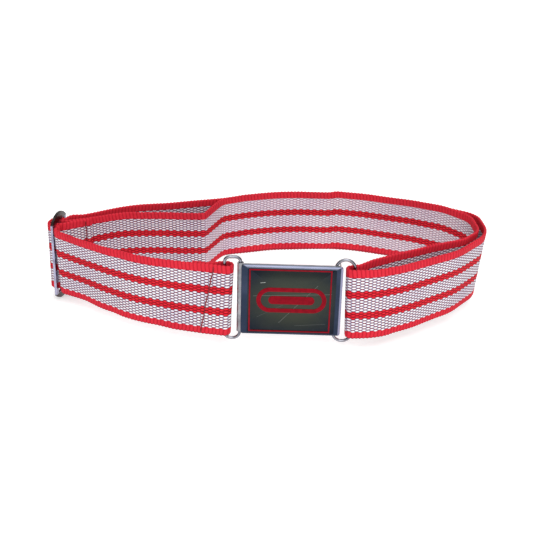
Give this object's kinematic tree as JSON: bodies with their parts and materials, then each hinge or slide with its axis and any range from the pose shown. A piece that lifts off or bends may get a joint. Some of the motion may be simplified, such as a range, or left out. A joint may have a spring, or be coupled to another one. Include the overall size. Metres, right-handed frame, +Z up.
{
  "type": "adjustable webbing belt with plate buckle",
  "caption": "Striped webbing belt standing on edge in a closed loop, with a wire-link plate buckle at the front and a three-bar adjusting slider at one bend.",
  "frame": {"origin": "under the middle of the whole belt's bounding box, level with its lowest point", "axes": "+Z up across the webbing's width, +X to the wearer's-left side of the loop as seen from the buckle, +Y from the buckle to the back of the loop"},
  "size_m": [0.2396, 0.1184, 0.0496],
  "materials": {
    "webbing": "woven",
    "thread": "matte",
    "link_wire": "polished",
    "sheet_steel": "satin",
    "face_steel": "polished",
    "enamel": "gloss",
    "slider_steel": "polished"
  },
  "bodies": {
    "back": {"webbing_outer_loop": "webbing", "webbing_inner_loop": "webbing", "tail_seam_rear_thread": "thread", "tail_seam_near_thread": "thread"},
    "front_left": {"webbing_front_left": "webbing", "left_seam_back_thread": "thread", "left_seam_face_thread": "thread"},
    "front_right": {"webbing_front_right": "webbing"},
    "left_link": {"left_link": "link_wire"},
    "right_link": {"right_link": "link_wire"},
    "buckle": {"hook_plate": "sheet_steel", "face_plate": "face_steel", "left_rivet": "sheet_steel", "right_rivet": "sheet_steel", "enamel_frame_line": "enamel", "emblem_outline": "enamel", "emblem_bar": "enamel"},
    "slider": {"slider_frame": "slider_steel"}
  },
  "joints": [
    {"name": "left_flex", "type": "hinge", "parent": "back", "child": "front_left", "pos_m": [-0.09704, -0.0261, 0.0254], "axis": [0, 0, -1], "range_deg": [0, 32]},
    {"name": "right_flex", "type": "hinge", "parent": "back", "child": "front_right", "pos_m": [0.09516, -0.0205, 0.0254], "axis": [0, 0, -1], "range_deg": [0, 20]},
    {"name": "left_link_swing", "type": "hinge", "parent": "front_left", "child": "left_link", "pos_m": [-0.02144, -0.0549, 0.0254], "axis": [0, 0, -1], "range_deg": [0, 70]},
    {"name": "buckle_swing", "type": "hinge", "parent": "left_link", "child": "buckle", "pos_m": [-0.01344, -0.0549, 0.0254], "axis": [0, 0, -1], "range_deg": [0, 70]},
    {"name": "right_link_swing", "type": "hinge", "parent": "front_right", "child": "right_link", "pos_m": [0.04336, -0.0549, 0.0254], "axis": [0, 0, -1], "range_deg": [0, 75]},
    {"name": "slider_tilt", "type": "hinge", "parent": "back", "child": "slider", "pos_m": [-0.11414, -0.0034, 0.0254], "axis": [0, 0, 1], "range_deg": [-4, 2]}
  ]
}
